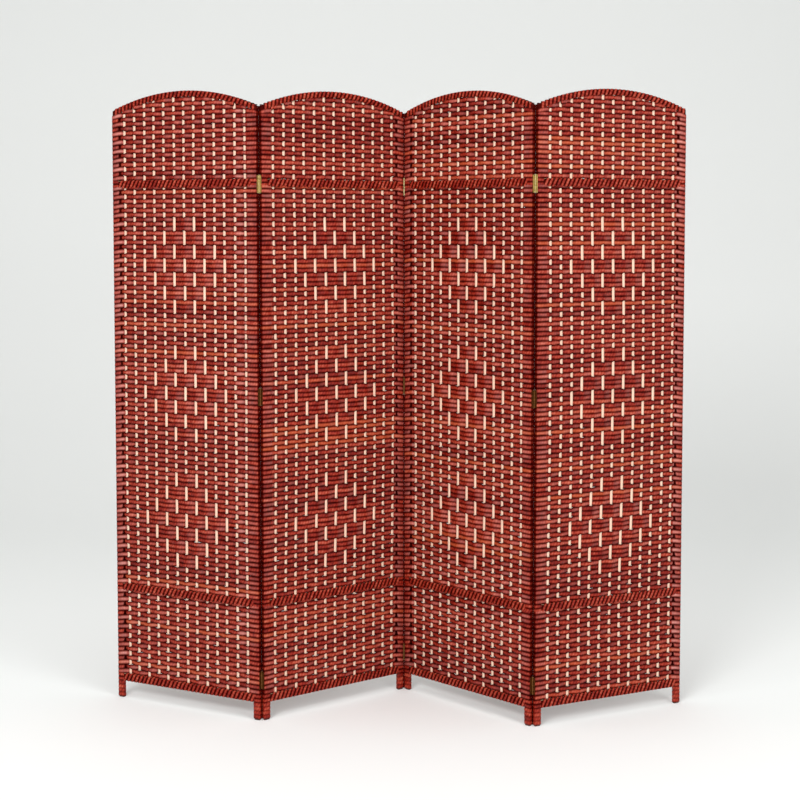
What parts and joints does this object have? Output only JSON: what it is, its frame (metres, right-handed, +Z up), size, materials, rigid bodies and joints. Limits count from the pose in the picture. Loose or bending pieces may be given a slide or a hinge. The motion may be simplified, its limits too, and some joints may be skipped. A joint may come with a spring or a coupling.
{
  "type": "folding room divider screen",
  "caption": "Free-standing folding screen of hinged arched panels, woven from red paper rope over pale flat stakes on wrapped timber frames.",
  "frame": {"origin": "on the floor, at the middle of the bounding box of the screen as it stands in its zigzag", "axes": "+Z up along the stiles, +X from the first panel to the last as seen from the front, -Y towards the viewer"},
  "size_m": [1.6774, 0.3658, 1.7998],
  "materials": {
    "red_rope": "twisted paper rope, satin lacquer",
    "pale_wood": "sanded, unfinished",
    "stained_timber": "dark stain",
    "raw_timber": "sawn",
    "hinge_brass": "plated, satin",
    "screw_brass": "plated",
    "nail_steel": "bright"
  },
  "bodies": {
    "panel_1": {"panel_1_left_stile": "stained_timber", "panel_1_right_stile": "stained_timber", "panel_1_arch_laths": "raw_timber", "panel_1_band_laths": "raw_timber", "panel_1_bottom_laths": "raw_timber", "panel_1_nails": "nail_steel", "panel_1_stakes": "pale_wood", "panel_1_weave_upper": "red_rope", "panel_1_weave_main": "red_rope", "panel_1_weave_lower": "red_rope", "panel_1_whipping": "red_rope", "panel_1_leg_bindings": "red_rope", "panel_1_hinge_screws": "screw_brass", "hinge_1_left_leaves": "hinge_brass"},
    "panel_2": {"panel_2_left_stile": "stained_timber", "panel_2_right_stile": "stained_timber", "panel_2_arch_laths": "raw_timber", "panel_2_band_laths": "raw_timber", "panel_2_bottom_laths": "raw_timber", "panel_2_nails": "nail_steel", "panel_2_stakes": "pale_wood", "panel_2_weave_upper": "red_rope", "panel_2_weave_main": "red_rope", "panel_2_weave_lower": "red_rope", "panel_2_whipping": "red_rope", "panel_2_leg_bindings": "red_rope", "panel_2_hinge_screws": "screw_brass", "hinge_1_right_leaves": "hinge_brass", "hinge_2_left_leaves": "hinge_brass", "panel_2_hinge_pins": "hinge_brass"},
    "panel_3": {"panel_3_left_stile": "stained_timber", "panel_3_right_stile": "stained_timber", "panel_3_arch_laths": "raw_timber", "panel_3_band_laths": "raw_timber", "panel_3_bottom_laths": "raw_timber", "panel_3_nails": "nail_steel", "panel_3_stakes": "pale_wood", "panel_3_weave_upper": "red_rope", "panel_3_weave_main": "red_rope", "panel_3_weave_lower": "red_rope", "panel_3_whipping": "red_rope", "panel_3_leg_bindings": "red_rope", "panel_3_hinge_screws": "screw_brass", "hinge_2_right_leaves": "hinge_brass", "hinge_3_left_leaves": "hinge_brass", "panel_3_hinge_pins": "hinge_brass"},
    "panel_4": {"panel_4_left_stile": "stained_timber", "panel_4_right_stile": "stained_timber", "panel_4_arch_laths": "raw_timber", "panel_4_band_laths": "raw_timber", "panel_4_bottom_laths": "raw_timber", "panel_4_nails": "nail_steel", "panel_4_stakes": "pale_wood", "panel_4_weave_upper": "red_rope", "panel_4_weave_main": "red_rope", "panel_4_weave_lower": "red_rope", "panel_4_whipping": "red_rope", "panel_4_leg_bindings": "red_rope", "panel_4_hinge_screws": "screw_brass", "hinge_3_right_leaves": "hinge_brass"}
  },
  "joints": [
    {"name": "fold_1_2", "type": "hinge", "parent": "panel_2", "child": "panel_1", "pos_m": [-0.38736, -0.11756, 0.93], "axis": [0, 0, -1], "range_deg": [-64, 116]},
    {"name": "fold_2_3", "type": "hinge", "parent": "panel_2", "child": "panel_3", "pos_m": [0.02035, 0.17289, 0.93], "axis": [0, 0, -1], "range_deg": [-82, 98]},
    {"name": "fold_3_4", "type": "hinge", "parent": "panel_3", "child": "panel_4", "pos_m": [0.38366, -0.17147, 0.93], "axis": [0, 0, 1], "range_deg": [-71, 109]}
  ]
}
